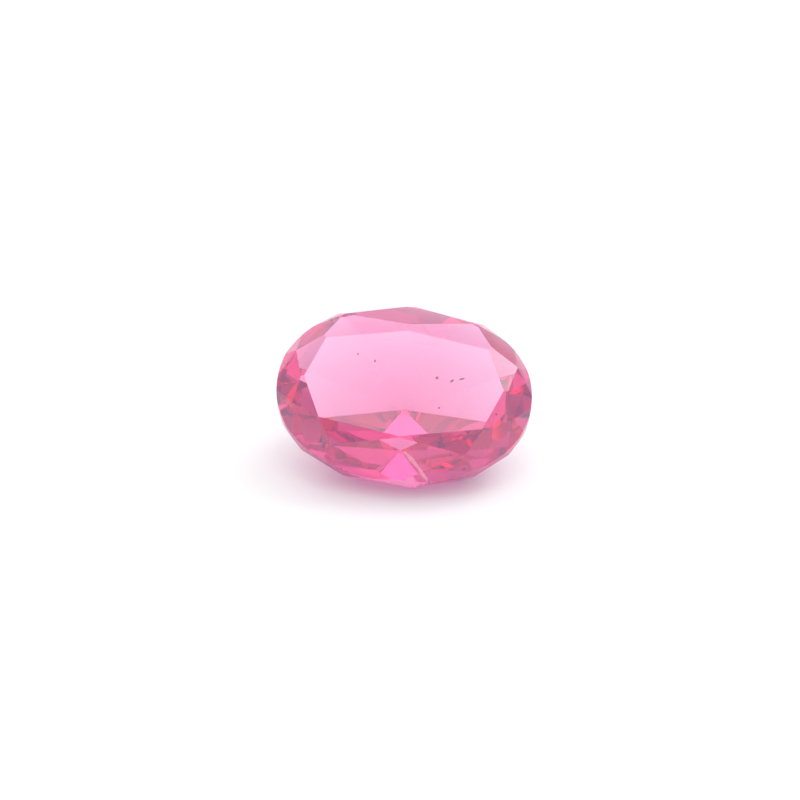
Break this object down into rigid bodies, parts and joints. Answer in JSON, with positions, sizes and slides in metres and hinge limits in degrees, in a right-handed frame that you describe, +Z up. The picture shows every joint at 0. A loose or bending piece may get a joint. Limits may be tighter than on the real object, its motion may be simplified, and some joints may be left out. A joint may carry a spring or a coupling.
{
  "type": "faceted oval ruby",
  "caption": "Loose oval-cut ruby with a flat table, star, kite and girdle facets and a deep pavilion, lying tipped on one of its lower facets.",
  "frame": {"origin": "middle of the underside of the stone's bounding box, on the surface it lies on", "axes": "+X along the stone's length, to the right as seen from the front; +Y away from the viewer, under the raised edge of the table; +Z up"},
  "size_m": [0.0078, 0.0052, 0.0044],
  "materials": {
    "ruby": "polished, transparent pink-red corundum with faint silk and a few dark specks"
  },
  "bodies": {
    "root": {"ruby": "ruby"}
  },
  "joints": []
}
